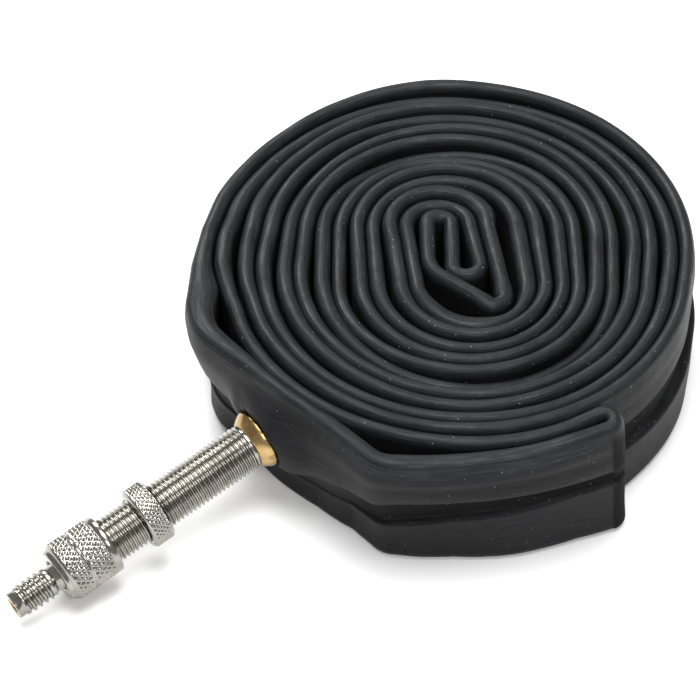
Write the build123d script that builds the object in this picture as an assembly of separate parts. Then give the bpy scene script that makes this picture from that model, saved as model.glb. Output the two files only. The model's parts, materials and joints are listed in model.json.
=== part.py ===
from build123d import *
import math
import os

# Bicycle inner tube, 28 inch size, as sold: emptied, flattened, doubled and rolled up from the end
# opposite the valve, lying flat, with its threaded English-type valve pointing out and drooping to the table.
# Millimetres. +Z is up, z = 0 is the table, and the origin is on the table in the middle of the coil.
# The flattened tube stands on its edge, so its lay-flat width is the height of the coil.

# --- tube -------------------------------------------------------------------------------------
LAY_FLAT = 26.0           # width of the flattened tube, standing on edge
STRIP = 2.2               # thickness of the flattened tube: two 1.0 mm walls and the film of air left in it
ARM_PITCH = 2.4           # the two arms of the doubled tube lie this far apart, centre to centre

# core of the roll
CORE_FOLD_X = -0.25       # inner arm's first leg
CORE_FOLD_Y = 8.9         # where the first closed fold starts to turn
CORE_FOLD_R = 1.9        # the first closed fold, centre line
CORE_LEG = 10.1           # inner arm's first leg, down to its U-turn
CORE_TURN_R = 2.3        # the inner arm's U-turn
CORE_LEAN = 8.5           # degrees that the core's right-hand legs lean to the left
CORE_RISE = 10.2          # inner arm's second leg, up to the first round turn
OUTER_LEG = 8.7          # outer arm's first leg, down to its slack bend
OUTER_BEND = 52.0         # degrees, the outer arm's slack bend before its hook
OUTER_BEND_R = 5.5
HOOK_R = 1.45              # the outer arm's sharp hook round the U-turn

# round turns: half turns of growing radius, joined by straight runs that shrink outwards
HALF_TURNS = 11
FIRST_HALF_TURN_R = 6.5   # radius of the groove between the two arms in the first half turn
SECOND_HALF_TURN_R = 10.3
HALF_TURN_GROWTH = 2.93
FIRST_RUN = 13.9
RUN_SHRINK = 1.0
LEAN_CHANGE = 1.85        # degrees that each half turn falls short of 180, so the lean swings over

# outer end: the inner arm follows the roll, the outer arm leaves it, passes the valve and comes back
END_HEADING = 26.0        # degrees from +X, of both arms at the closing fold
END_RUN = 3.0             # inner arm's last straight run
CLOSING_FOLD_R = 1.7
LEFT_BEND_R = 10.0
VALVE_RUN_HEADING = 316.0
FRONT_BEND_R = 5.0
FRONT_HEADING = 358.0
FRONT_RUN = 2.3
FRONT_SWEEP_R = 66.0

# --- valve: heights are measured along the stem from the tube's outer face -----------------------
VALVE_ALONG_RUN = 0.355   # place of the valve on the straight run between the two bends, 0 to 1
VALVE_HEIGHT = 13.0       # middle of the lay-flat width
VALVE_AZIMUTH = 215.4     # degrees from +X, the way the stem points
VALVE_DROOP = 11.0        # degrees below level: the union nut ends up just above the table

STEM_R = 3.85             # 7.7 mm valve thread, 32 threads an inch
STEM_TOP = 35.0
STEM_BORE_R = 2.1
STEM_SEAT_R = 2.9         # wider upper bore that takes the valve core
STEM_SEAT_BOTTOM = 15.0
KEY_WIDTH = 1.2           # two slots in the stem's rim that keep the core from turning
KEY_DEPTH = 1.6
SPIGOT_R = 3.1            # stem's plain end, pressed into the collar
THREAD_CLEARANCE = 0.05

COLLAR_START = 0.2
COLLAR_TOP = 2.7
COLLAR_BASE_R = 4.95
COLLAR_TOP_R = 4.1

PAD_R = 10.5
PAD_TOP = 0.5
PAD_TOP_R = 5.9
PAD_DEPTH = 3.6
AIR_HOLE_R = 1.6
AIR_HOLE_DEPTH = 0.9

RIM_NUT_BOTTOM = 20.2
RIM_NUT_TOP = 24.0
RIM_NUT_R = 5.15
NUT_CHAMFER = 0.45

UNION_BOTTOM = 30.0
UNION_TOP = 39.4
UNION_R = 5.0
UNION_WALL = 2.0          # front wall that traps the core's shoulder
UNION_HOLE_R = 2.75

SHOULDER_R = 3.45
SHOULDER_BOTTOM = STEM_TOP + 0.05
SHOULDER_TOP = UNION_TOP - UNION_WALL - 0.05
NECK_R = 2.15
NECK_TOP = 40.9
PUMP_THREAD_R = 2.6       # 5.2 mm thread, 24 threads an inch, that a pump screws onto
PUMP_THREAD_TOP = 46.1
TIP_R = 2.2
TIP_TOP = 47.6
CORE_BORE_R = 0.9
TIP_BORE_R = 1.3
TIP_BORE_DEPTH = 3.0
CORE_WAIST_R = 1.9        # inside the seal
SEAL_TOP_R = 2.75
SEAL_BOTTOM_R = 2.45
SEAL_BOTTOM = 30.5
BARREL_R = 2.4
BARREL_BOTTOM = 19.0
BALL_R = 1.3
BALL_CLEARANCE = 0.25
BALL_SEAT = 24.0          # top of the ball's chamber
CAGE_BOTTOM = 16.5
CAGE_SPIGOT_TOP = 20.2
CAGE_HOLE_R = 0.8


# --- the path of the tube: runs and bends walked one after the other -----------------------------
def run(length):
    return (length, 0.0, 0.0)


def bend(radius, degrees):
    """A bend of the centre line: positive degrees turn left."""
    return (0.0, radius, degrees)


def step(point, heading, move, side=0.0):
    """Walk one move on a line that lies `side` to the left of the centre line."""
    length, radius, degrees = move
    if degrees == 0.0:
        there = point + Vector(length, 0, 0).rotate(Axis.Z, heading)
        return there, heading, Line(point, there).edge() if length > 1e-6 else None
    turn = math.copysign(1.0, degrees)
    own_radius = radius - turn * side
    centre = point + Vector(0, turn * own_radius, 0).rotate(Axis.Z, heading)
    middle = centre + (point - centre).rotate(Axis.Z, degrees / 2)
    there = centre + (point - centre).rotate(Axis.Z, degrees)
    return there, heading + degrees, ThreePointArc(point, middle, there).edge()


def walk(point, heading, moves, side=0.0):
    """Walk a list of moves and return the end point, the end heading and the edges."""
    edges = []
    for move in moves:
        point, heading, edge = step(point, heading, move, side)
        if edge is not None:
            edges.append(edge)
    return point, heading, edges


def fit_runs(start, heading, moves, slots, goal):
    """Set the lengths of two straight runs, moves[slots], so that the walk ends on the goal."""
    free = list(moves)
    for slot in slots:
        free[slot] = run(0.0)
    end, _, _ = walk(start, heading, free)
    ways = []
    for slot in slots:
        _, way, _ = walk(start, heading, free[:slot])
        ways.append(Vector(1, 0, 0).rotate(Axis.Z, way))
    gap = goal - end
    spread = ways[0].X * ways[1].Y - ways[0].Y * ways[1].X
    free[slots[0]] = run((gap.X * ways[1].Y - gap.Y * ways[1].X) / spread)
    free[slots[1]] = run((ways[0].X * gap.Y - ways[0].Y * gap.X) / spread)
    return free


def backwards(moves):
    return [(length, radius, -degrees) for length, radius, degrees in reversed(moves)]


def half_turn_radius(number):
    """Radius of the groove between the two arms in a half turn, counted from 0 at the core."""
    if number == 0:
        return FIRST_HALF_TURN_R
    return SECOND_HALF_TURN_R + HALF_TURN_GROWTH * (number - 1)


def round_turns(side):
    """The roll's half turns and straight runs, for the arm that lies `side` outside the groove."""
    moves = []
    for number in range(HALF_TURNS):
        moves.append(bend(half_turn_radius(number) + side, 180.0 - LEAN_CHANGE))
        moves.append(run(FIRST_RUN - RUN_SHRINK * number))
    return moves


half_pitch = ARM_PITCH / 2
last_radius = half_turn_radius(HALF_TURNS)

# inner arm: down from the first fold, a U-turn, up again, round the roll, and on to the closing fold
inner_start = Vector(CORE_FOLD_X, CORE_FOLD_Y, 0)
inner_core = [run(CORE_LEG), bend(CORE_TURN_R, 180.0 + CORE_LEAN), run(CORE_RISE)]
roll_start, roll_heading, _ = walk(inner_start, 270.0, inner_core)
last_heading = 90.0 + CORE_LEAN + 180.0 - HALF_TURNS * LEAN_CHANGE
inner_end = [bend(last_radius - half_pitch, 360.0 + END_HEADING - last_heading), run(END_RUN)]
inner_arm = inner_core + round_turns(-half_pitch) + inner_end
closing_point, closing_heading, _ = walk(inner_start, 270.0, inner_arm)

# outer arm: down from the first fold, a slack bend, a sharp hook, then parallel to the inner arm
outer_start = inner_start - Vector(2 * CORE_FOLD_R, 0, 0)
hook = 180.0 + CORE_LEAN - OUTER_BEND
outer_core = [run(OUTER_LEG), bend(OUTER_BEND_R, OUTER_BEND), run(9.0), bend(HOOK_R, hook), run(16.0)]
outer_goal = roll_start + Vector(0, -ARM_PITCH, 0).rotate(Axis.Z, roll_heading)
outer_core = fit_runs(outer_start, 270.0, outer_core, (2, 4), outer_goal)

# the outer arm's slack turn past the valve, closed up to the end of the inner arm
outer_end = [
    run(8.0),
    bend(LEFT_BEND_R, VALVE_RUN_HEADING - last_heading),
    run(28.0),
    bend(FRONT_BEND_R, FRONT_HEADING - VALVE_RUN_HEADING),
    run(FRONT_RUN),
    bend(FRONT_SWEEP_R, 360.0 + END_HEADING - FRONT_HEADING),
]
outer_roll = outer_core + round_turns(half_pitch)
slack_start, slack_heading, _ = walk(outer_start, 270.0, outer_roll)
fold_goal = closing_point + Vector(0, -2 * CLOSING_FOLD_R, 0).rotate(Axis.Z, closing_heading)
outer_end = fit_runs(slack_start, slack_heading, outer_end, (0, 2), fold_goal)
outer_arm = outer_roll + outer_end

ring = outer_arm + [bend(CLOSING_FOLD_R, 180.0)] + backwards(inner_arm) + [bend(CORE_FOLD_R, 180.0)]


def ring_outline(side):
    """The closed line that lies `side` to the left of the ring's centre line."""
    start = outer_start + Vector(0, side, 0).rotate(Axis.Z, 270.0)
    _, _, edges = walk(start, 270.0, ring, side)
    return Wire(edges)


# --- where the valve stands ----------------------------------------------------------------------
run_start, run_heading, _ = walk(slack_start, slack_heading, outer_end[:2])
along_run = Vector(outer_end[2][0] * VALVE_ALONG_RUN, -STRIP / 2, 0).rotate(Axis.Z, run_heading)
valve_base = run_start + along_run + Vector(0, 0, VALVE_HEIGHT)
face_normal = Vector(0, -1, 0).rotate(Axis.Z, run_heading)
droop = math.radians(VALVE_DROOP)
stem_way = Vector(math.cos(droop), 0, -math.sin(droop)).rotate(Axis.Z, VALVE_AZIMUTH)
stem_side = Vector(0, 1, 0).rotate(Axis.Z, VALVE_AZIMUTH)
stem_frame = Plane(origin=valve_base, x_dir=stem_side, z_dir=stem_way)


def rod(bottom, top, radius, top_radius=None):
    """A round piece on the stem's axis, between two heights."""
    if top_radius is None:
        shape = Cylinder(radius, top - bottom, align=(Align.CENTER, Align.CENTER, Align.MIN))
    else:
        shape = Cone(radius, top_radius, top - bottom, align=(Align.CENTER, Align.CENTER, Align.MIN))
    return Pos(0, 0, bottom) * shape


def chamfered_rod(bottom, top, radius, size):
    return (
        rod(bottom, bottom + size, radius - size, radius)
        + rod(bottom + size, top - size, radius)
        + rod(top - size, top, radius, radius - size)
    )


def on_stem(shape):
    return stem_frame.location * shape


# --- the pieces ----------------------------------------------------------------------------------
def make_inner_tube():
    band = Face(ring_outline(-STRIP / 2), [ring_outline(STRIP / 2)])
    tube = Part() + Solid.extrude(band, Vector(0, 0, LAY_FLAT))
    pocket = rod(COLLAR_START, 8.0, COLLAR_BASE_R) + rod(-AIR_HOLE_DEPTH, 8.0, AIR_HOLE_R)
    return tube - on_stem(pocket)


def make_base_pad():
    pad = rod(-PAD_DEPTH, PAD_TOP, PAD_R, PAD_TOP_R)
    pad -= rod(COLLAR_START, 8.0, COLLAR_BASE_R)
    pad -= rod(-8.0, 8.0, AIR_HOLE_R)
    behind_face = Plane(origin=valve_base, z_dir=-face_normal).location
    block = Box(80, 80, 20, align=(Align.CENTER, Align.CENTER, Align.MIN))
    return on_stem(pad) - behind_face * block


def make_stem_collar():
    lip = 0.6
    collar = rod(COLLAR_START, COLLAR_START + lip, COLLAR_BASE_R)
    collar += rod(COLLAR_START + lip, COLLAR_TOP, COLLAR_BASE_R, COLLAR_TOP_R)
    return on_stem(collar - rod(0.0, 8.0, SPIGOT_R))


def make_valve_stem():
    stem = rod(COLLAR_START, COLLAR_TOP, SPIGOT_R)
    stem += rod(COLLAR_TOP, STEM_TOP - NUT_CHAMFER, STEM_R)
    stem += rod(STEM_TOP - NUT_CHAMFER, STEM_TOP, STEM_R, STEM_R - NUT_CHAMFER)
    stem -= rod(0.0, STEM_TOP + 1, STEM_BORE_R)
    stem -= rod(STEM_SEAT_BOTTOM, STEM_TOP + 1, STEM_SEAT_R)
    stem -= Pos(0, 0, STEM_TOP) * Box(2 * STEM_R + 2, KEY_WIDTH, 2 * KEY_DEPTH)
    return on_stem(stem)


def make_rim_nut():
    nut = chamfered_rod(RIM_NUT_BOTTOM, RIM_NUT_TOP, RIM_NUT_R, NUT_CHAMFER)
    return on_stem(nut - rod(0.0, 60.0, STEM_R + THREAD_CLEARANCE))


def make_union_nut():
    nut = chamfered_rod(UNION_BOTTOM, UNION_TOP, UNION_R, NUT_CHAMFER)
    nut -= rod(0.0, UNION_TOP - UNION_WALL, STEM_R + THREAD_CLEARANCE)
    return on_stem(nut - rod(0.0, 60.0, UNION_HOLE_R))


def make_core_body():
    body = rod(BARREL_BOTTOM, SEAL_BOTTOM, BARREL_R)
    body += rod(SEAL_BOTTOM, SHOULDER_BOTTOM, CORE_WAIST_R)
    body += rod(SHOULDER_BOTTOM, SHOULDER_TOP, SHOULDER_R)
    keys = Box(2 * SHOULDER_R, KEY_WIDTH - 0.2, KEY_DEPTH - 0.3)
    keys = Pos(0, 0, SHOULDER_BOTTOM - (KEY_DEPTH - 0.3) / 2 + 0.1) * keys
    body += keys - rod(0.0, 60.0, STEM_SEAT_R + THREAD_CLEARANCE)
    body += rod(SHOULDER_TOP, NECK_TOP, NECK_R)
    body += chamfered_rod(NECK_TOP, PUMP_THREAD_TOP, PUMP_THREAD_R, 0.35)
    body += rod(PUMP_THREAD_TOP, TIP_TOP, TIP_R)
    body -= rod(0.0, 60.0, CORE_BORE_R)
    body -= rod(TIP_TOP - TIP_BORE_DEPTH, 60.0, TIP_BORE_R)
    chamber_r = BALL_R + BALL_CLEARANCE
    body -= rod(0.0, BALL_SEAT, chamber_r)
    body -= rod(BALL_SEAT, BALL_SEAT + chamber_r - CORE_BORE_R, chamber_r, CORE_BORE_R)
    return on_stem(body)


def make_core_seal():
    seal = rod(SEAL_BOTTOM, SHOULDER_BOTTOM - KEY_DEPTH, SEAL_BOTTOM_R, SEAL_TOP_R)
    return on_stem(seal - rod(0.0, 60.0, CORE_WAIST_R))


def ball_height():
    """Height of the ball's centre when it is up against the conical seat."""
    chamber_r = BALL_R + BALL_CLEARANCE
    apex = BALL_SEAT + chamber_r
    return apex - (BALL_R + 0.03) * math.sqrt(2)


def make_core_ball():
    return on_stem(Pos(0, 0, ball_height()) * Sphere(BALL_R))


def make_core_cage():
    cage = rod(CAGE_BOTTOM, BARREL_BOTTOM, BARREL_R - 0.3, BARREL_R)
    cage += rod(BARREL_BOTTOM, CAGE_SPIGOT_TOP, BALL_R + BALL_CLEARANCE)
    return on_stem(cage - rod(0.0, 60.0, CAGE_HOLE_R))


pieces = {
    "inner_tube": make_inner_tube,
    "base_pad": make_base_pad,
    "stem_collar": make_stem_collar,
    "valve_stem": make_valve_stem,
    "rim_nut": make_rim_nut,
    "union_nut": make_union_nut,
    "core_body": make_core_body,
    "core_seal": make_core_seal,
    "core_ball": make_core_ball,
    "core_cage": make_core_cage,
}

os.makedirs("parts", exist_ok=True)
for name, make in pieces.items():
    export_step(make(), f"parts/{name}.step")

ring_length = sum(length + radius * math.radians(abs(degrees)) for length, radius, degrees in ring)
print("length of the flattened ring", round(ring_length, 1))
print("valve base", valve_base, "stem", stem_way)
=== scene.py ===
import json
import math

import bpy
import numpy as np
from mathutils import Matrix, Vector


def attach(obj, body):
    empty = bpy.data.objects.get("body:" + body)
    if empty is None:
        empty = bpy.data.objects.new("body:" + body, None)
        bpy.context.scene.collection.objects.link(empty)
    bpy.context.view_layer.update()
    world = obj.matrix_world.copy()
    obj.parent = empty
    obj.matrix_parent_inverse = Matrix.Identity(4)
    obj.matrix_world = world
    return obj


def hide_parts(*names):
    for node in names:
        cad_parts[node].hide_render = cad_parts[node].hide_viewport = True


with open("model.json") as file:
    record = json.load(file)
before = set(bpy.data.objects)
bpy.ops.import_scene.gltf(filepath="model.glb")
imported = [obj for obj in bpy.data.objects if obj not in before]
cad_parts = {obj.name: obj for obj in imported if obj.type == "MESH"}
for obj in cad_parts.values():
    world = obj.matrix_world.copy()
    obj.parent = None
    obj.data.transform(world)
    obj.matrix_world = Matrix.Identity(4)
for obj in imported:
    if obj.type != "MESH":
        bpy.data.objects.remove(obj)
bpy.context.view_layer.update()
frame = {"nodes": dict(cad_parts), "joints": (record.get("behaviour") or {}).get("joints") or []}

random = np.random.default_rng(27)
MM = 0.001

# --- the strip of flattened tube, in millimetres and degrees: the same path as the CAD frame ------
HEIGHT = 26.0             # lay-flat width, standing on edge
HALF_PITCH = 1.2          # from the groove between two arms to either centre line

# core of the roll
CORE_START = (-0.25, 8.9)
CORE_HEADING = 270.0
CORE_FOLD_R = 1.9
CORE_LEG = 10.1
CORE_TURN_R = 2.3
CORE_RISE = 10.2
CORE_LEAN = 8.5
OUTER_LEG = 8.7
OUTER_BEND = 52.0
OUTER_BEND_R = 5.5
HOOK_R = 1.45

# round turns: half turns of growing radius, joined by straight runs that shrink outwards
HALF_TURNS = 11
FIRST_HALF_TURN_R = 6.5
SECOND_HALF_TURN_R = 10.3
HALF_TURN_GROWTH = 2.93
FIRST_RUN = 13.9
RUN_SHRINK = 1.0
LEAN_CHANGE = 1.85        # each half turn falls this much short of 180

# outer end: the outer arm leaves the roll, passes the valve and comes back to the closing fold
END_HEADING = 26.0
END_RUN = 3.0
CLOSING_FOLD_R = 1.7
LEFT_BEND_R = 10.0
VALVE_RUN_HEADING = 316.0
VALVE_ALONG_RUN = 0.355   # place of the valve on its straight run, 0 to 1
FRONT_BEND_R = 5.0
FRONT_HEADING = 358.0
FRONT_RUN = 2.3
FRONT_SWEEP_R = 66.0
ANY_RUN = 0.0             # a run whose length fit_runs works out


def run(length):
    return (length, 0.0, 0.0)


def bend(radius, degrees):
    return (0.0, radius, degrees)


def ahead(heading, length=1.0):
    return length * np.array([math.cos(math.radians(heading)), math.sin(math.radians(heading))])


def leftward(heading, length=1.0):
    return ahead(heading + 90.0, length)


def step(point, heading, move):
    length, radius, degrees = move
    if degrees == 0.0:
        return point + ahead(heading, length), heading
    turn = math.copysign(radius, degrees)
    centre = point + leftward(heading, turn)
    return centre - leftward(heading + degrees, turn), heading + degrees


def walk(point, heading, moves):
    for move in moves:
        point, heading = step(point, heading, move)
    return point, heading


def fit_runs(start, heading, moves, slots, goal):
    """Set the two straight runs moves[slots] so that the walk ends on the goal."""
    free = list(moves)
    for slot in slots:
        free[slot] = run(ANY_RUN)
    end, _ = walk(start, heading, free)
    ways = [ahead(walk(start, heading, free[:slot])[1]) for slot in slots]
    lengths = np.linalg.solve(np.array(ways).T, goal - end)
    for slot, length in zip(slots, lengths):
        free[slot] = run(float(length))
    return free


def backwards(moves):
    return [(length, radius, -degrees) for length, radius, degrees in reversed(moves)]


def half_turn_radius(number):
    if number == 0:
        return FIRST_HALF_TURN_R
    return SECOND_HALF_TURN_R + HALF_TURN_GROWTH * (number - 1)


def round_turns(side):
    moves = []
    for number in range(HALF_TURNS):
        moves.append(bend(half_turn_radius(number) + side, 180.0 - LEAN_CHANGE))
        moves.append(run(FIRST_RUN - RUN_SHRINK * number))
    return moves


inner_start = np.array(CORE_START)
inner_core = [run(CORE_LEG), bend(CORE_TURN_R, 180.0 + CORE_LEAN), run(CORE_RISE)]
roll_start, roll_heading = walk(inner_start, CORE_HEADING, inner_core)
last_heading = 90.0 + CORE_LEAN + 180.0 - HALF_TURNS * LEAN_CHANGE
last_bend = bend(half_turn_radius(HALF_TURNS) - HALF_PITCH, 360.0 + END_HEADING - last_heading)
inner_arm = inner_core + round_turns(-HALF_PITCH) + [last_bend, run(END_RUN)]
closing_point, closing_heading = walk(inner_start, CORE_HEADING, inner_arm)

outer_start = inner_start - np.array([2 * CORE_FOLD_R, 0.0])
hook = 180.0 + CORE_LEAN - OUTER_BEND
outer_core = [run(OUTER_LEG), bend(OUTER_BEND_R, OUTER_BEND), run(ANY_RUN), bend(HOOK_R, hook), run(ANY_RUN)]
outer_goal = roll_start + leftward(roll_heading, -2 * HALF_PITCH)
outer_core = fit_runs(outer_start, CORE_HEADING, outer_core, (2, 4), outer_goal)
outer_roll = outer_core + round_turns(HALF_PITCH)
slack_start, slack_heading = walk(outer_start, CORE_HEADING, outer_roll)
outer_end = [
    run(ANY_RUN),
    bend(LEFT_BEND_R, VALVE_RUN_HEADING - last_heading),
    run(ANY_RUN),
    bend(FRONT_BEND_R, FRONT_HEADING - VALVE_RUN_HEADING),
    run(FRONT_RUN),
    bend(FRONT_SWEEP_R, 360.0 + END_HEADING - FRONT_HEADING),
]
fold_goal = closing_point + leftward(closing_heading, -2 * CLOSING_FOLD_R)
outer_end = fit_runs(slack_start, slack_heading, outer_end, (0, 2), fold_goal)
outer_arm = outer_roll + outer_end
ring = outer_arm + [bend(CLOSING_FOLD_R, 180.0)] + backwards(inner_arm) + [bend(CORE_FOLD_R, 180.0)]


def path_length(moves):
    return sum(length + radius * math.radians(abs(degrees)) for length, radius, degrees in moves)


# places along the ring, measured from the first fold along the outer arm
RING = path_length(ring)
AT_SLACK = path_length(outer_roll)
AT_LEFT_BEND = AT_SLACK + outer_end[0][0]
AT_VALVE_RUN = AT_SLACK + path_length(outer_end[:2])
AT_VALVE = AT_VALVE_RUN + VALVE_ALONG_RUN * outer_end[2][0]
AT_FRONT_BEND = AT_SLACK + path_length(outer_end[:3])
AT_FRONT = AT_SLACK + path_length(outer_end[:4])
AT_FOLD = path_length(outer_arm)


PACE = 0.75               # greatest step along the ring
LOOSE_ARM_PACE = 0.42     # greatest step on the arm that carries the valve


def sample_ring():
    """Centre points, headings and distances along the ring, closer together in tight bends."""
    points, headings, places = [], [], []
    point, heading, place = np.array(outer_start), CORE_HEADING, 0.0
    for move in ring:
        length, radius, degrees = move
        size = path_length([move])
        pace = PACE if radius == 0.0 else min(PACE, 0.11 * radius + 0.05)
        if place < AT_FOLD and place + size > AT_LEFT_BEND:
            pace = min(pace, LOOSE_ARM_PACE)
        count = max(1, round(size / pace))
        for number in range(count):
            part = number / count
            spot, way = step(point, heading, (length * part, radius, degrees * part))
            points.append(spot if number else point)
            headings.append(way if number else heading)
            places.append(place + size * part)
        point, heading = step(point, heading, move)
        place += size
    return np.array(points), np.radians(headings), np.array(places)


centre, heading, place = sample_ring()
count = len(place)
along = np.stack([np.cos(heading), np.sin(heading)], 1)
left = np.stack([-np.sin(heading), np.cos(heading)], 1)


def smooth(values, width):
    """Average round the ring with a bell-shaped weight; width in millimetres, half of its reach."""
    reach = np.arange(-width * 2, width * 2 + 0.01, width / 4)
    weight = np.exp(-((reach / width) ** 2))
    ring_places = np.concatenate([place - RING, place, place + RING])
    ring_values = np.tile(values, 3)
    total = sum(w * np.interp(place + r, ring_places, ring_values) for w, r in zip(weight, reach))
    return total / weight.sum()


MOST_ROOM = 12.0


def room(side):
    """Distance to the next strip's centre line on the left (+1) or right (-1), at most MOST_ROOM."""
    free = np.full(count, MOST_ROOM)
    for i in range(count):
        gap = centre - centre[i]
        off = gap @ left[i] * side
        aside = np.abs(gap @ along[i])
        apart = np.abs(place - place[i])
        apart = np.minimum(apart, RING - apart)
        near = (off > 0.8) & (aside < 0.5) & (apart > 3.0)
        if near.any():
            free[i] = min(MOST_ROOM, off[near].min())
    return free


def wander(length):
    """A smooth random value along the ring, about -1 to 1, that changes over the given length."""
    knots = max(8, round(RING / length))
    values = random.uniform(-1.0, 1.0, knots)
    at = place / RING * knots % knots
    low = np.floor(at).astype(int) % knots
    part = at - np.floor(at)
    part = part * part * (3 - 2 * part)
    return values[low] * (1 - part) + values[(low + 1) % knots] * part


def between(value, low, high):
    """Smooth step: 0 up to low, 1 from high on."""
    part = np.clip((value - low) / (high - low), 0.0, 1.0)
    return part * part * (3 - 2 * part)


def along_path(pairs):
    """A smooth value along the ring from a list of (place, value)."""
    spots, values = zip(*pairs)
    return smooth(np.interp(place, spots, values), 2.0)


room_left = room(1.0)
room_right = room(-1.0)
is_outer = place < AT_FOLD
bare = smooth((room_right > 9.0).astype(float), 2.0) * (place > AT_SLACK - 260.0) * is_outer

# thickness of the strip on each side of its centre line; the arms round the core are looser and fuller
far_out = np.hypot(centre[:, 0], centre[:, 1])
round_core = between(-far_out, -20.0, -13.0) * between(far_out, 9.0, 12.0)
clear_left = 0.05 + 0.03 * wander(30.0)
fuller_left = 0.35 * np.clip(room_left - 2.9, 0.0, 1.8) * round_core
half_left = np.minimum(1.22 + fuller_left, room_left / 2 - clear_left)
half_left = np.minimum(half_left, smooth(half_left, 1.2))
clear_right = 0.10 + 0.07 * wander(24.0)
fuller_right = 0.35 * np.clip(room_right - 3.2, 0.0, 1.8) * round_core
half_right = np.minimum(1.40 + fuller_right + 0.14 * wander(50.0), room_right / 2 - clear_right)
half_right = np.minimum(half_right, smooth(half_right, 1.2))
half_right = half_right * (1 - bare) + 1.25 * bare

# the loose arm's top edge is not pressed flat: it opens inward to a wide rounded bead
open_edge = along_path([
    (AT_SLACK - 110.0, 0.0), (AT_SLACK - 70.0, 0.8), (AT_SLACK - 20.0, 1.8), (AT_LEFT_BEND, 2.3),
    (AT_VALVE_RUN + 1.0, 1.4), (AT_VALVE - 2.0, 0.5), (AT_FRONT_BEND, 0.5), (AT_FRONT + 12.0, 0.4),
    (AT_FOLD - 8.0, 0.1), (AT_FOLD, 0.0), (RING, 0.0),
])
open_edge = np.minimum(open_edge, smooth(np.clip(room_left - 2.75, 0.0, 3.0), 2.0))

# places where one arm has sunk below its neighbours: x, y, depth and reach along the arm
SUNK_ARMS = [
    (3.0, -26.6, 2.0, 24.0), (0.0, 27.0, 1.8, 22.0), (-24.0, 14.0, 1.6, 16.0), (-14.0, 22.0, 1.4, 14.0),
    (26.0, 6.0, 1.4, 18.0), (-19.0, -8.0, 1.3, 13.0), (21.0, -15.0, 1.2, 12.0),
]

# height of the strip's top edge
compass = np.arctan2(centre[:, 1] + 2.0, centre[:, 0])
at_back = np.clip(np.sin(compass), 0.0, 1.0) ** 2
inner_arm_drop = np.where(is_outer, 0.0, 1.0)
top = HEIGHT - 0.15 + 0.45 * wander(46.0) + 0.25 * wander(17.0)
top -= smooth(inner_arm_drop * (0.45 + 1.15 * at_back), 5.0)
top -= np.where(is_outer, 0.55, 0.0) * at_back


def dip(x, y, depth, reach):
    """Sink the arm that passes the point (x, y), over the given reach to both sides."""
    nearest = np.argmin(np.hypot(centre[:, 0] - x, centre[:, 1] - y))
    apart = np.abs(place - place[nearest])
    apart = np.minimum(apart, RING - apart)
    return depth * np.exp(-((apart / reach) ** 2))


for sunk in SUNK_ARMS:
    top -= dip(*sunk)
top += 0.7 * between(-far_out, -14.0, -9.0)
top += 0.8 * np.exp(-(((place - AT_FOLD) / 9.0) ** 2))
top = np.clip(smooth(top, 2.0), 22.8, 26.6)
bottom = 0.12 + 0.12 * wander(40.0)

# longitudinal crease of the outermost turn: a bulged upper band, a recessed middle band and a
# lower band that steps out again
crease_z = along_path([
    (AT_SLACK - 190.0, 15.4), (AT_SLACK - 120.0, 16.4), (AT_SLACK, 13.5), (AT_LEFT_BEND, 12.0),
    (AT_VALVE_RUN, 10.5), (AT_VALVE, 8.6), (AT_VALVE + 8.0, 10.4), (AT_FRONT_BEND, 13.0),
    (AT_FRONT, 15.1), (AT_FRONT + 20.0, 15.8), (AT_FOLD - 6.0, 15.3), (AT_FOLD, 15.6), (RING, 15.6),
])
step_z = along_path([
    (AT_SLACK - 190.0, 12.2), (AT_SLACK - 120.0, 11.4), (AT_SLACK, 9.5), (AT_LEFT_BEND, 8.5),
    (AT_VALVE_RUN, 6.8), (AT_VALVE, 5.6), (AT_VALVE + 8.0, 6.2), (AT_FRONT_BEND, 8.4),
    (AT_FRONT + 2.0, 9.4), (AT_FRONT + 12.0, 11.2), (AT_FOLD - 8.0, 13.4), (AT_FOLD, 13.8), (RING, 13.8),
])
crease_depth = along_path([
    (AT_SLACK - 260.0, 0.0), (AT_SLACK - 190.0, 0.2), (AT_SLACK - 150.0, 0.7), (AT_SLACK - 110.0, 0.5),
    (AT_SLACK - 80.0, 0.15), (AT_SLACK - 30.0, 0.15),
    (AT_SLACK, 0.25), (AT_LEFT_BEND, 0.5), (AT_VALVE, 0.25), (AT_FRONT_BEND - 6.0, 0.35),
    (AT_FRONT_BEND, 0.8),
    (AT_FRONT + 5.0, 1.3), (AT_FOLD - 4.0, 1.15), (AT_FOLD + 2.5, 0.35), (AT_FOLD + 5.0, 0.0), (RING, 0.0),
])
bead = along_path([
    (AT_SLACK - 260.0, 0.0), (AT_SLACK - 200.0, 0.25), (AT_LEFT_BEND, 0.15), (AT_VALVE, 0.1),
    (AT_FRONT_BEND, 0.4), (AT_FRONT + 4.0, 0.7), (AT_FOLD - 6.0, 0.6), (AT_FOLD + 3.0, 0.1),
    (AT_FOLD + 6.0, 0.0), (RING, 0.0),
])
crease_on = np.clip(bare * 1.5, 0.0, 1.0)
round_fold = along_path([(0, 0), (AT_FOLD - 3, 0), (AT_FOLD, 1), (AT_FOLD + 5, 0), (RING, 0)])
crease_on = np.maximum(crease_on, round_fold)
crease_depth = crease_depth * crease_on
bead = bead * crease_on

# --- the strip's section: left wall up, top edge, right wall down, bottom edge -------------------
LEFT_ROWS, TOP_ROWS, BOTTOM_ROWS = 12, 13, 7
EDGE_RISE = 1.75          # height of the rounded top edge
FOOT_RISE = 1.3           # height of the rounded bottom edge
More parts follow.
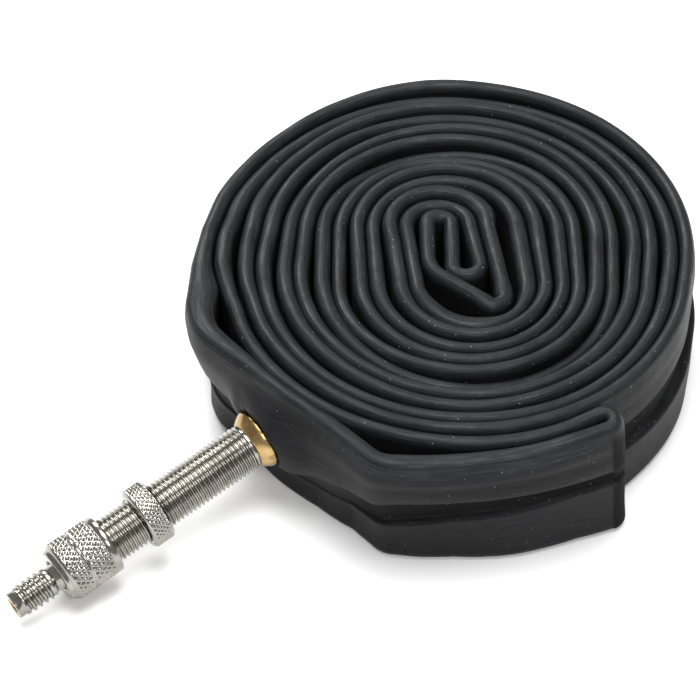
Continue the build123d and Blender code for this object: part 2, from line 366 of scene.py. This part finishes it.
# rows of the right wall: 0 is under the top edge, 1 the crease, 2 the step, 3 above the bottom edge
UPPER_BAND = [0.0, 0.06, 0.13, 0.21, 0.30, 0.39, 0.48, 0.57, 0.66, 0.74, 0.81, 0.87, 0.92, 0.96, 0.985, 1.0]
RECESS = [1.012, 1.05, 1.15, 1.3, 1.5, 1.7, 1.85, 1.93, 1.975, 2.0]
LOWER_BAND = [2.02, 2.05, 2.10, 2.17, 2.26, 2.36, 2.46, 2.56, 2.66, 2.76, 2.84, 2.91, 2.96, 3.0]
RIGHT_LEVELS = UPPER_BAND + RECESS + LOWER_BAND
RIGHT_ROWS = len(RIGHT_LEVELS)


def rounded(part, power):
    """Point on a rounded edge: part 0 is its left foot, 1 its right foot; returns across and up."""
    angle = math.pi * part
    across = math.copysign(abs(math.cos(angle)) ** power, math.cos(angle))
    return across, math.sin(angle) ** power


def right_wall(level, upper, lower):
    """How far out the right wall stands and its height, at a level from RIGHT_LEVELS."""
    if level <= 1.0:
        z = upper + (crease_z - upper) * level
        belly = 0.8 * math.sin(math.pi * min(1.0, level / 0.42)) if level < 0.42 else 0.0
        second = 0.5 * math.sin(math.pi * (level - 0.42) / 0.58) if level >= 0.42 else 0.0
        lip = 1.0 - 0.9 * max(0.0, (level - 0.78) / 0.22) ** 2
        tuck = 0.35 * crease_depth * max(0.0, (level - 0.85) / 0.15) ** 2
        return half_right + bead * (0.75 + belly + second) * lip - tuck, z
    if level < 2.0:
        part = level - 1.0
        fall = min(1.0, part / 0.08)
        rise = 0.20 * part
        out = half_right - crease_depth * (0.35 + 0.65 * fall) * (1.0 - rise)
        return out + bead * 0.05 * (1 - fall), crease_z + (step_z - crease_z) * part
    part = level - 2.0
    edge = min(1.0, part / 0.05)
    out = half_right + crease_depth * (0.25 - 0.75 * (1 - edge)) - 0.15 * crease_depth * part
    return out, step_z + (lower - step_z) * part


def ring_surface():
    """Every row of the section at every place: distance left of the centre line, and height."""
    rows = []
    middle = (half_left - half_right) / 2
    half = (half_left + half_right) / 2
    wide_left = half_left + open_edge
    cap_middle = (wide_left - half_right - 0.55 * bead) / 2
    cap_half = (wide_left + half_right + 0.55 * bead) / 2
    lower = bottom + FOOT_RISE
    upper = top - EDGE_RISE
    # left wall, from the bottom up
    for number in range(LEFT_ROWS):
        part = number / LEFT_ROWS
        waist = 1.0 - 0.10 * math.sin(math.pi * part)
        opening = open_edge * between(part, 0.35, 1.0)
        rows.append((half_left * waist + opening, lower + (upper - lower) * part))
    # top edge
    for number in range(TOP_ROWS):
        part = number / TOP_ROWS
        across, rise = rounded(part, 0.84)
        rows.append((cap_middle + cap_half * across, upper + EDGE_RISE * rise))
    # right wall, from the top down, with rows gathered at the crease and at the step
    for level in RIGHT_LEVELS:
        out, z = right_wall(level, upper, lower)
        rows.append((-out, z))
    # bottom edge
    for number in range(BOTTOM_ROWS):
        part = (number + 0.5) / BOTTOM_ROWS
        across, rise = rounded(part, 0.8)
        rows.append((middle - half * across * 0.98, lower - (lower - bottom) * rise))
    across = np.array([np.broadcast_to(a, count) for a, _ in rows]).T
    height = np.array([np.broadcast_to(z, count) for _, z in rows]).T
    return across, height


across, height = ring_surface()
outer_wall = np.arange(across.shape[1])[None, :] >= LEFT_ROWS + TOP_ROWS // 2
# the loose arm's wall leans inward below its top edge; the roll's right side flares at the foot
lean_in = along_path([
    (AT_SLACK - 30.0, 0.0), (AT_LEFT_BEND, 2.4), (AT_VALVE_RUN, 3.2), (AT_VALVE, 1.2),
    (AT_FRONT_BEND, 2.1), (AT_FRONT + 20.0, 1.7), (AT_FOLD - 5.0, 0.6), (AT_FOLD + 5.0, 0.0), (RING, 0.0),
])
lean_in = np.minimum(lean_in, smooth(np.clip(room_left - 2.5, 0.0, 3.4), 2.0))
across = across + lean_in[:, None] * between(HEIGHT - height, 3.0, 17.0)
flare = along_path([
    (AT_SLACK - 200.0, 0.0), (AT_SLACK - 165.0, 0.5), (AT_SLACK - 130.0, 1.1), (AT_SLACK - 95.0, 0.9),
    (AT_SLACK - 60.0, 0.4), (AT_SLACK - 20.0, 0.0), (RING, 0.0),
])
below_step = between(step_z[:, None] + 0.3 - height, 0.0, 0.5)
across = across - (flare * np.clip(bare, 0.0, 1.0))[:, None] * below_step
section = across.shape[1]
xy = centre[:, None, :] + left[:, None, :] * across[:, :, None]
points = np.concatenate([xy, height[:, :, None]], 2)


# --- the stem's axis, from the frame's joints -----------------------------------------------------
joints = {joint["name"]: joint for joint in frame["joints"]}
stem_way = Vector(joints["rim_nut_travel"]["axis"]).normalized()
stem_base = Vector(joints["union_nut_turn"]["pos_m"])
stem_side = Vector((0, 0, 1)).cross(stem_way).normalized()
stem_up = stem_way.cross(stem_side)
base, way = np.array(stem_base), np.array(stem_way)
side_way, up_way = np.array(stem_side), np.array(stem_up)


def raise_mound(points):
    """Swell the rubber wall round the collar, so that it meets the collar's foot."""
    normal = np.append(-left[np.argmin(np.abs(place - AT_VALVE))], 0.0)
    rel = points - base / MM
    reach = rel @ way
    aside = rel - reach[..., None] * way
    radius = np.linalg.norm(aside, axis=-1)
    out = rel @ normal
    near = (np.abs(place - AT_VALVE) < 18.0)[:, None] & (radius < 16.0) & (out > -1.2)
    lip = 0.55 - 1.3 * between(-radius, -5.15, -4.3)
    swell = (lip - reach) / (way @ normal) * between(-radius, -11.5, -5.3)
    height_up = rel[..., 2]
    # two soft knobs beside the collar
    knob = 0.65 * np.exp(-(((rel @ side_way - 4.4) / 1.9) ** 2 + ((height_up - 5.6) / 2.4) ** 2))
    knob += 0.55 * np.exp(-(((rel @ side_way + 5.2) / 1.7) ** 2 + ((height_up - 4.2) / 2.6) ** 2))
    knob *= between(radius, 4.9, 6.0)
    out_wall = np.zeros(section, bool)
    out_wall[LEFT_ROWS + TOP_ROWS - 3:LEFT_ROWS + TOP_ROWS + RIGHT_ROWS + 2] = True
    move = np.where(near & out_wall[None, :], swell + knob, 0.0)
    return points + move[..., None] * normal


# degrees round the roll from +X, and millimetres
FOOT_DRAW = [
    (0.0, 0.0), (170.0, 0.0), (185.0, 0.4), (200.0, 1.5), (215.0, 2.5), (235.0, 3.0), (248.0, 1.7),
    (262.0, 0.8), (290.0, 0.5), (320.0, 0.6), (345.0, 0.3), (360.0, 0.0),
]
SIDE_BULGE = [
    (0.0, 0.0), (95.0, 0.0), (115.0, -0.5), (132.0, -0.7), (146.0, -0.2), (158.0, 0.8), (170.0, 1.3),
    (181.0, 1.0), (190.0, 0.1), (196.0, -0.4), (206.0, 0.0), (360.0, 0.0),
]


def settle(points):
    """Warp the whole roll smoothly: its foot draws in under the valve and the left side bulges."""
    radius = np.hypot(points[..., 0], points[..., 1])
    angle = np.degrees(np.arctan2(points[..., 1], points[..., 0])) % 360.0
    foot = np.interp(angle, *zip(*FOOT_DRAW)) * between(15.0 - points[..., 2], 0.0, 11.0)
    side = np.interp(angle, *zip(*SIDE_BULGE)) * between(points[..., 2], -14.0, 12.0)
    move = side * between(radius, 28.0, 41.0) - foot * between(radius, 16.0, 38.0)
    out = points[..., :2] / np.maximum(radius, 1.0)[..., None]
    moved = points.copy()
    moved[..., :2] += out * move[..., None]
    return moved


points = raise_mound(settle(points))

# the closing fold slants: its foot reaches further along the strip than its top
FOLD_SLANT = 2.8
at_fold = 1.0 - between(np.abs(place - AT_FOLD), 4.0, 15.0)
fold_slant = FOLD_SLANT * at_fold[:, None] * (1.0 - height / HEIGHT)
points[..., :2] += fold_slant[..., None] * ahead(END_HEADING)

# soft unevenness of the walls
ripple = 0.05 * wander(9.0)[:, None] * np.sin(height / 3.1 + 3.0 * wander(60.0)[:, None])
points[..., :2] -= left[:, None, :] * (ripple * np.clip(bare, 0, 1)[:, None])[..., None]


def make_mesh(name, vertices, faces, smooth_faces=True):
    mesh = bpy.data.meshes.new(name)
    mesh.from_pydata(vertices, [], faces)
    mesh.validate()
    mesh.update()
    if smooth_faces:
        mesh.polygons.foreach_set("use_smooth", [True] * len(mesh.polygons))
    piece = bpy.data.objects.new(name, mesh)
    bpy.context.scene.collection.objects.link(piece)
    return piece


def ring_mesh():
    """The tube's mesh, its map along the strip, and the attribute talc that holds talc, a painted crest
    highlight and painted shade.
    """
    vertices = (points.reshape(-1, 3) * MM).tolist()
    i, k = np.meshgrid(np.arange(count), np.arange(section), indexing="ij")
    after, beside = (i + 1) % count, (k + 1) % section
    quads = [i * section + k, after * section + k, after * section + beside, i * section + beside]
    quads = np.stack(quads, -1)
    piece = make_mesh("rubber_tube", vertices, quads.reshape(-1, 4).tolist())
    mesh = piece.data
    flat = mesh.uv_layers.new(name="along")
    girth = np.concatenate([[0.0], np.cumsum(np.linalg.norm(np.diff(points[0], axis=0), axis=1))])
    u_here, v_here = place[i] * MM, girth[k] * MM
    u_next = np.where(i + 1 < count, place[after], RING) * MM
    v_next = np.where(k + 1 < section, girth[beside], girth[-1] + 0.5) * MM
    corners = [(u_here, v_here), (u_next, v_here), (u_next, v_next), (u_here, v_next)]
    loops = np.stack([np.stack(corner, -1) for corner in corners], 2)
    flat.data.foreach_set("uv", loops.reshape(-1).astype(np.float32))
    # where talc has stayed: core, closing fold, depths of the grooves
    x, y, z = points[..., 0], points[..., 1], points[..., 2]
    deep = between(HEIGHT - z, 0.6, 3.5)
    core = between(-np.hypot(x - 2.0, y), -26.0, -6.0)
    beside_fold = np.exp(-(((x - 30.0) / 6.0) ** 2 + ((y + 24.0) / 7.0) ** 2))
    front = np.exp(-(((x - 2.0) / 22.0) ** 2 + ((y + 20.0) / 9.0) ** 2))
    talc = np.clip(0.16 + 0.30 * core + 0.12 * deep + 0.95 * beside_fold + 0.25 * front, 0.0, 1.0)
    # painted highlight: the top edge, and the shoulder of the outer wall's bulged band, get a lighter colour
    # for the light that falls on them
    crest = between(z, top[:, None] - 2.0, top[:, None] - 0.3)
    shoulder = np.exp(-(((z - top[:, None] + 1.9) / 1.0) ** 2)) * outer_wall
    crest = crest + 2.2 * np.clip(bead, 0.0, 0.8)[:, None] * shoulder
    # painted shade: the recess under the crease, and the depths between the arms
    under = outer_wall * crease_on[:, None]
    under = under * between(crease_depth, 0.1, 0.8)[:, None]
    above_step = between(z, step_z[:, None] - 0.2, step_z[:, None] + 0.8)
    below_lip = above_step * between(-z, -crease_z[:, None] - 0.9, -crease_z[:, None] + 0.1)
    inside = between(top[:, None] - z, 1.0, 4.0) * (1.0 - np.clip(bare[:, None] * outer_wall, 0.0, 1.0))
    shade = np.clip(np.maximum(under * below_lip, inside), 0.0, 1.0)
    colours = np.stack([talc, crest, shade, np.ones_like(talc)], -1).reshape(-1, 4)
    layer = mesh.color_attributes.new(name="talc", type="FLOAT_COLOR", domain="POINT")
    layer.data.foreach_set("color", colours.reshape(-1).astype(np.float32))
    return piece


# --- materials ------------------------------------------------------------------------------------
class Nodes:
    """Short ways to build a material's node tree."""

    def __init__(self, name):
        self.material = bpy.data.materials.new(name)
        self.material.use_nodes = True
        self.tree = self.material.node_tree
        self.tree.nodes.clear()
        self.shader = self.add("ShaderNodeBsdfPrincipled")
        output = self.add("ShaderNodeOutputMaterial")
        self.link(self.shader.outputs["BSDF"], output.inputs["Surface"])

    def add(self, kind, **settings):
        node = self.tree.nodes.new(kind)
        for key, value in settings.items():
            setattr(node, key, value)
        return node

    def link(self, a, b):
        self.tree.links.new(a, b)

    def put(self, node, **values):
        for key, value in values.items():
            socket = node.inputs[key.replace("_", " ")]
            if isinstance(value, bpy.types.NodeSocket):
                self.link(value, socket)
            else:
                socket.default_value = value
        return node

    def place(self, uv=None, stretch=(1.0, 1.0, 1.0)):
        if uv:
            source = self.add("ShaderNodeUVMap", uv_map=uv).outputs["UV"]
        else:
            source = self.add("ShaderNodeTexCoord").outputs["Object"]
        mapping = self.put(self.add("ShaderNodeMapping"), Vector=source, Scale=stretch)
        return mapping.outputs["Vector"]

    def noise(self, vector, scale, detail=3.0, roughness=0.55):
        node = self.add("ShaderNodeTexNoise")
        self.put(node, Vector=vector, Scale=scale, Detail=detail, Roughness=roughness)
        return node.outputs["Fac"]

    def spread(self, value, low, high, to_low=0.0, to_high=1.0):
        node = self.add("ShaderNodeMapRange")
        node.interpolation_type = "SMOOTHSTEP"
        for index, item in enumerate((value, low, high, to_low, to_high)):
            if isinstance(item, bpy.types.NodeSocket):
                self.link(item, node.inputs[index])
            else:
                node.inputs[index].default_value = item
        return node.outputs[0]

    def math(self, kind, a, b):
        node = self.add("ShaderNodeMath", operation=kind)
        for index, item in enumerate((a, b)):
            if isinstance(item, bpy.types.NodeSocket):
                self.link(item, node.inputs[index])
            else:
                node.inputs[index].default_value = item
        return node.outputs[0]

    def mix(self, part, a, b):
        node = self.add("ShaderNodeMix", data_type="RGBA")
        for socket, item in ((node.inputs[0], part), (node.inputs[6], a), (node.inputs[7], b)):
            if isinstance(item, bpy.types.NodeSocket):
                self.link(item, socket)
            elif isinstance(item, tuple):
                socket.default_value = (*item, 1.0)
            else:
                socket.default_value = item
        return node.outputs[2]

    def bump(self, height, distance, strength=1.0, normal=None):
        node = self.add("ShaderNodeBump")
        self.put(node, Height=height, Distance=distance, Strength=strength)
        if normal is not None:
            self.link(normal, node.inputs["Normal"])
        return node.outputs["Normal"]


def rubber_material():
    n = Nodes("butyl_rubber_satin")
    here = n.place()
    streaks = n.place("along", (0.05, 1.0, 1.0))
    cloud = n.noise(here, 70.0, 4.0)
    grain = n.noise(here, 5200.0, 2.0)
    lines = n.noise(streaks, 3600.0, 3.0)
    base = n.mix(n.spread(cloud, 0.35, 0.65), (0.0028, 0.0028, 0.0034), (0.0062, 0.0062, 0.0074))
    base = n.mix(n.spread(lines, 0.45, 0.75, 0.0, 0.6), base, (0.020, 0.0205, 0.023))
    # talc: sparse specks and a thin bloom; the talc attribute also holds a painted crest highlight and
    # painted shade
    marks = n.add("ShaderNodeSeparateColor")
    n.link(n.add("ShaderNodeVertexColor", layer_name="talc").outputs["Color"], marks.inputs[0])
    talc, crest, shade = marks.outputs[0], marks.outputs[1], marks.outputs[2]
    patches = n.spread(n.noise(here, 160.0, 5.0, 0.7), 0.34, 0.68, 0.45, 1.0)
    crest_patches = n.math("MULTIPLY", patches, n.spread(lines, 0.34, 0.62, 0.32, 1.0))
    # painted highlight: the crests' colour is lightened, in patches
    base = n.mix(n.math("MULTIPLY", crest, crest_patches), base, (0.021, 0.0225, 0.026))
    base = n.mix(shade, base, (0.0035, 0.0035, 0.004))
    cells = n.add("ShaderNodeTexVoronoi", feature="F1")
    n.put(cells, Vector=here, Scale=1250.0)
    split = n.add("ShaderNodeSeparateColor")
    n.link(cells.outputs["Color"], split.inputs[0])
    dot = n.spread(cells.outputs["Distance"], 0.16, 0.06)
    least = n.math("SUBTRACT", 1.0, n.math("MULTIPLY", talc, 0.75))
    chosen = n.spread(split.outputs[0], least, 1.0)
    speck = n.math("MULTIPLY", dot, n.math("GREATER_THAN", chosen, 0.02))
    faint = n.spread(split.outputs[1], 0.2, 1.0, 0.25, 0.9)
    speck = n.math("MULTIPLY", speck, faint)
    film = n.spread(n.noise(here, 900.0, 5.0, 0.7), 0.55, 0.8)
    bloom = n.math("MULTIPLY", film, n.math("MULTIPLY", talc, 0.22))
    base = n.mix(bloom, base, (0.10, 0.105, 0.11))
    base = n.mix(speck, base, (0.26, 0.265, 0.27))
    rough = n.spread(cloud, 0.3, 0.7, 0.48, 0.58)
    rough = n.math("ADD", rough, n.math("MULTIPLY", n.spread(grain, 0.3, 0.7), 0.05))
    rough = n.math("ADD", rough, n.math("MULTIPLY", speck, 0.3))
    rough = n.math("SUBTRACT", rough, n.math("MULTIPLY", n.math("MULTIPLY", crest, crest_patches), 0.24))
    rough = n.math("ADD", rough, n.math("MULTIPLY", shade, 0.3))
    normal = n.bump(grain, 0.00002, 0.5)
    normal = n.bump(lines, 0.00008, 0.6, normal)
    normal = n.bump(n.noise(here, 420.0, 3.0), 0.00012, 0.35, normal)
    n.put(n.shader, Base_Color=base, Roughness=rough, Normal=normal, IOR=1.5)
    n.shader.inputs["Specular IOR Level"].default_value = 0.15
    return n.material


def metal_material(name, light, dark, spot, roughness, grain_scale, spot_part):
    n = Nodes(name)
    here = n.place()
    cloud = n.noise(here, 260.0, 4.0)
    fine = n.noise(here, grain_scale, 3.0, 0.6)
    base = n.mix(n.spread(cloud, 0.35, 0.7), light, dark)
    marks = n.spread(n.noise(here, 620.0, 4.0, 0.65), 0.56, 0.70, 0.0, spot_part)
    base = n.mix(marks, base, spot)
    rough = n.spread(fine, 0.3, 0.7, roughness - 0.05, roughness + 0.08)
    rough = n.math("ADD", rough, n.math("MULTIPLY", marks, 0.2))
    normal = n.bump(fine, 0.000008, 0.18)
    n.put(n.shader, Base_Color=base, Metallic=1.0, Roughness=rough, Normal=normal)
    return n.material


def smooth_rubber_material():
    n = Nodes("seal_rubber_smooth")
    here = n.place()
    cloud = n.noise(here, 300.0, 3.0)
    base = n.mix(n.spread(cloud, 0.35, 0.65), (0.03, 0.03, 0.031), (0.055, 0.055, 0.056))
    rough = n.spread(cloud, 0.3, 0.7, 0.35, 0.5)
    n.put(n.shader, Base_Color=base, Roughness=rough, Normal=n.bump(n.noise(here, 4000.0), 0.00001, 0.4))
    return n.material


def floor_material():
    n = Nodes("studio_floor")
    here = n.place()
    base = n.mix(n.spread(n.noise(here, 3.0), 0.3, 0.7), (0.90, 0.90, 0.90), (0.92, 0.92, 0.92))
    n.put(n.shader, Base_Color=base, Roughness=0.9)
    n.shader.inputs["Specular IOR Level"].default_value = 0.1
    return n.material


rubber = rubber_material()
nickel = metal_material(
    "nickel_plate_worn", (0.345, 0.33, 0.30), (0.26, 0.245, 0.22), (0.16, 0.135, 0.105), 0.17, 3500.0, 0.35,
)
brass = metal_material(
    "bare_brass_turned", (0.47, 0.33, 0.145), (0.33, 0.205, 0.08), (0.20, 0.07, 0.04), 0.24, 2600.0, 0.75,
)
seal_rubber = smooth_rubber_material()


# --- turned pieces on the stem's axis -------------------------------------------------------------
def on_stem(along_stem, radius, angle):
    """Points at distances along the stem (mm), radii (mm) and angles round it, in metres."""
    round_it = np.cos(angle)[..., None] * side_way + np.sin(angle)[..., None] * up_way
    return base + way * (along_stem * MM)[..., None] + round_it * (radius * MM)[..., None]


def turned(name, outline, columns, relief):
    """A turned ring from a closed outline of (distance, radius) rows; relief changes the radius."""
    stations = np.array([row[0] for row in outline])
    radii = np.array([row[1] for row in outline])
    angle = np.linspace(0.0, 2 * math.pi, columns, endpoint=False)
    s, a = np.meshgrid(stations, angle, indexing="ij")
    r = relief(s, a, np.broadcast_to(radii[:, None], s.shape).copy())
    vertices = on_stem(s, r, a).reshape(-1, 3).tolist()
    rows = len(stations)
    faces = []
    for i in range(rows):
        j = (i + 1) % rows
        for k in range(columns):
            m = (k + 1) % columns
            faces.append((i * columns + k, i * columns + m, j * columns + m, j * columns + k))
    return make_mesh(name, vertices, faces)


def fine_rows(start, end, spacing):
    return np.linspace(start, end, max(2, round((end - start) / spacing) + 1))


THREAD_FLAT = 0.12        # share of a tooth's slope that is flat at its root, and again at its crest


def ridge(phase):
    """A thread's tooth from a phase in turns: 0 at the root, 1 at the crest, with small flats."""
    tooth = 1.0 - np.abs(2.0 * (phase % 1.0) - 1.0)
    tooth = np.clip((tooth - THREAD_FLAT) / (1.0 - 2 * THREAD_FLAT), 0.0, 1.0)
    return tooth * tooth * (3 - 2 * tooth) * 0.5 + tooth * 0.5


def thread(pitch, depth, start, end, major):
    """Relief of a right-hand thread that runs out over one turn at both ends."""
    def relief(s, a, r):
        inside = between(s, start, start + pitch) * between(-s, -end, -end + 0.8 * pitch)
        cut = depth * (1.0 - ridge(s / pitch - a / (2 * math.pi)))
        on_major = np.abs(r - major) < 1e-6
        return np.where(on_major, r - cut * inside - depth * 0.35 * (1 - inside), r)
    return relief


def diamonds(across_count, lead, depth, start, end):
    """Relief of a diamond knurl: two crossing families of grooves."""
    def relief(s, a, r):
        turns = a / (2 * math.pi) * across_count
        one = 1.0 - np.abs(2.0 * ((turns + s / lead) % 1.0) - 1.0)
        two = 1.0 - np.abs(2.0 * ((turns - s / lead) % 1.0) - 1.0)
        one, two = np.clip(one * 1.25, 0, 1), np.clip(two * 1.25, 0, 1)
        low = 1.0 - np.minimum(one, two)
        inside = between(s, start, start + 0.25) * between(-s, -end, -end + 0.25)
        return r - depth * low * inside
    return relief


def outline(*parts):
    """Join (distance, radius) points and arrays of distances at a fixed radius into one outline."""
    rows = []
    for part in parts:
        if isinstance(part[0], np.ndarray):
            rows += [(float(s), part[1]) for s in part[0]]
        else:
            rows.append(part)
    return rows


STEM_R, STEM_TOP = 3.85, 35.0
STEM_PITCH = 25.4 / 32    # 32 threads an inch
stem_rows = outline(
    (0.3, 2.1), (0.3, 3.1), (2.6, 3.1), (2.62, 3.5),
    (fine_rows(2.72, STEM_TOP - 0.35, STEM_PITCH / 9), STEM_R),
    (STEM_TOP - 0.1, 3.5), (STEM_TOP, 3.3), (STEM_TOP, 2.95), (STEM_TOP - 0.2, 2.9),
    (15.0, 2.9), (14.9, 2.1),
)
stem_thread = thread(STEM_PITCH, 0.44, 2.9, STEM_TOP - 0.3, STEM_R)
stem = turned("stem_threaded", stem_rows, 120, stem_thread)

collar_rows = outline(
    (0.2, 3.12), (0.2, 4.7), (0.26, 4.82), (0.38, 4.93), (0.58, 4.99), (0.8, 4.98), (1.02, 4.93),
    (1.25, 4.84), (1.48, 4.72), (1.7, 4.58), (1.92, 4.43), (2.12, 4.28), (2.3, 4.14), (2.46, 4.02),
    (2.58, 3.92), (2.66, 3.8), (2.7, 3.6), (2.7, 3.12),
)


def worn_edge(s, a, r):
    """Relief that leaves the collar's foot slightly out of round."""
    return r * (1.0 + 0.004 * np.sin(3 * a + 1.0) * between(-s, -1.2, -0.4))


collar = turned("collar_brass", collar_rows, 96, worn_edge)

rim_rows = outline(
    (20.28, 3.9), (20.2, 4.05), (20.2, 4.5), (20.28, 4.72), (20.5, 4.98), (20.62, 5.04),
    (fine_rows(20.7, 23.5, 0.09), 5.14), (23.58, 5.04), (23.7, 4.98), (23.92, 4.72), (24.0, 4.5),
    (24.0, 4.05), (23.92, 3.9),
)
rim_nut = turned("rim_nut_knurled", rim_rows, 288, diamonds(36, 0.95, 0.24, 20.65, 23.55))

union_rows = outline(
    (30.1, 3.92), (30.0, 4.1), (30.0, 4.7), (30.08, 4.86), (30.22, 4.93), (31.05, 4.93), (31.15, 4.80),
    (31.2, 4.80), (fine_rows(31.28, 34.72, 0.1), 5.0), (34.8, 4.86), (34.92, 4.84), (35.04, 4.86),
    (fine_rows(35.12, 38.0, 0.1), 5.0), (38.1, 4.92), (38.5, 4.72), (38.56, 4.52), (38.62, 4.46),
    (39.1, 4.40), (39.3, 4.30), (39.4, 4.10), (39.4, 3.0), (39.3, 2.8), (39.1, 2.75), (37.45, 2.75),
    (37.4, 2.9), (37.4, 3.85), (37.3, 3.92),
)


UNION_R = 5.0
UNION_KNURL = (30, 1.35, 0.26)


def union_relief(s, a, r):
    """Two knurled bands with a plain groove between them; only the full radius is knurled."""
    cut = diamonds(*UNION_KNURL, 31.2, 34.75)(s, a, r)
    both = diamonds(*UNION_KNURL, 35.1, 38.05)(s, a, cut)
    return np.where(np.abs(r - UNION_R) < 1e-6, both, r)


union_nut = turned("union_nut_knurled", union_rows, 272, union_relief)

NECK_TOP, PUMP_TOP, TIP_TOP = 40.9, 46.1, 47.6
PUMP_R = 2.6
PUMP_PITCH = 25.4 / 24    # 24 threads an inch
core_rows = outline(
    (19.0, 1.56), (19.0, 2.3), (19.1, 2.4), (30.4, 2.4), (30.5, 1.9), (35.0, 1.9), (35.05, 2.2),
    (35.05, 3.35), (35.15, 3.45), (37.2, 3.45), (37.35, 3.3), (37.35, 2.3), (37.5, 2.15),
    (NECK_TOP - 0.35, 2.15), (NECK_TOP - 0.3, 2.0),
    (fine_rows(NECK_TOP - 0.2, PUMP_TOP + 0.15, PUMP_PITCH / 12), PUMP_R),
    (PUMP_TOP + 0.2, 2.14), (TIP_TOP - 0.15, 2.2), (TIP_TOP - 0.04, 2.15), (TIP_TOP, 2.05),
    (TIP_TOP, 1.5), (TIP_TOP - 0.08, 1.38), (TIP_TOP - 0.3, 1.3), (TIP_TOP - 3.0, 1.25),
    (TIP_TOP - 3.6, 0.9), (26.0, 0.9), (24.0, 1.5),
)
pump_thread = thread(PUMP_PITCH, 0.52, NECK_TOP - 0.1, PUMP_TOP + 0.1, PUMP_R)
core = turned("core_tip", core_rows, 108, pump_thread)
tube = ring_mesh()

pieces = [
    (tube, "tube", ("inner_tube", "base_pad"), "butyl_rubber", rubber),
    (collar, "tube", ("stem_collar",), "bare_brass", brass),
    (stem, "tube", ("valve_stem",), "nickel_plate", nickel),
    (rim_nut, "rim_nut", ("rim_nut",), "nickel_plate", nickel),
    (union_nut, "union_nut", ("union_nut",), "nickel_plate", nickel),
    (core, "core", ("core_body",), "nickel_plate", nickel),
]
for piece, body, replaced, slot, material in pieces:
    piece.data.materials.append(material)
    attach(piece, body)
    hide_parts(*replaced)


def dress(node, material):
    """Give a CAD node that stays visible its finished material."""
    slots = frame["nodes"][node].data.materials
    slots.clear()
    slots.append(material)


dress("core_seal", seal_rubber)
dress("core_ball", seal_rubber)
dress("core_cage", brass)

# the core's bore is bare brass
BRASS_WITHIN = 1.5
core.data.materials.append(brass)
for face in core.data.polygons:
    off_axis = np.linalg.norm(np.cross(np.array(face.center) - base, way))
    if off_axis < BRASS_WITHIN * MM:
        face.material_index = 1

# --- floor, light and camera ----------------------------------------------------------------------
FLOOR_HALF = 2.0
FLOOR_GAP = 0.00002       # keeps the floor just under the part's foot
floor_corners = [(x * FLOOR_HALF, y * FLOOR_HALF, 0) for x, y in ((-1, -1), (1, -1), (1, 1), (-1, 1))]
floor = make_mesh("floor", floor_corners, [(0, 1, 2, 3)], False)
floor.location.z = -FLOOR_GAP
floor.data.materials.append(floor_material())


ORIGIN = Vector((0.0, 0.0, 0.0))


def soft_light(name, place_at, size, power):
    """A rectangular lamp that looks at the origin."""
    data = bpy.data.lights.new(name, "AREA")
    data.shape = "RECTANGLE"
    data.size, data.size_y = size
    data.energy = power
    lamp = bpy.data.objects.new(name, data)
    bpy.context.scene.collection.objects.link(lamp)
    lamp.location = place_at
    lamp.rotation_euler = (ORIGIN - Vector(place_at)).to_track_quat("-Z", "Y").to_euler()
    return lamp


soft_light("key_back_left", (-0.35, 0.75, 0.75), (0.55, 0.4), 10.0)
soft_light("fill_front", (0.15, -0.8, 0.85), (0.4, 0.3), 5.0)
soft_light("top", (0.0, -0.05, 1.0), (0.5, 0.5), 10.0)

world = bpy.data.worlds.new("studio")
world.use_nodes = True
sky = world.node_tree.nodes["Background"]
sky.inputs["Color"].default_value = (1.0, 1.0, 1.0, 1.0)
sky.inputs["Strength"].default_value = 0.38
bpy.context.scene.world = world
bpy.context.scene.view_settings.view_transform = "Standard"

CAMERA_TILT = 43.0        # degrees from straight down, so it looks from 47 degrees up
camera_data = bpy.data.cameras.new("camera")
camera_data.sensor_width = 36.0
camera_data.lens = 170.3  # fitted to the photo by overlay, like the place and the tilt below
camera_data.clip_start = 0.01
camera = bpy.data.objects.new("camera", camera_data)
camera.location = (-0.0167, -0.3741, 0.4050)
camera.rotation_euler = (math.radians(CAMERA_TILT), 0.0, 0.0)
bpy.context.scene.collection.objects.link(camera)
bpy.context.scene.camera = camera
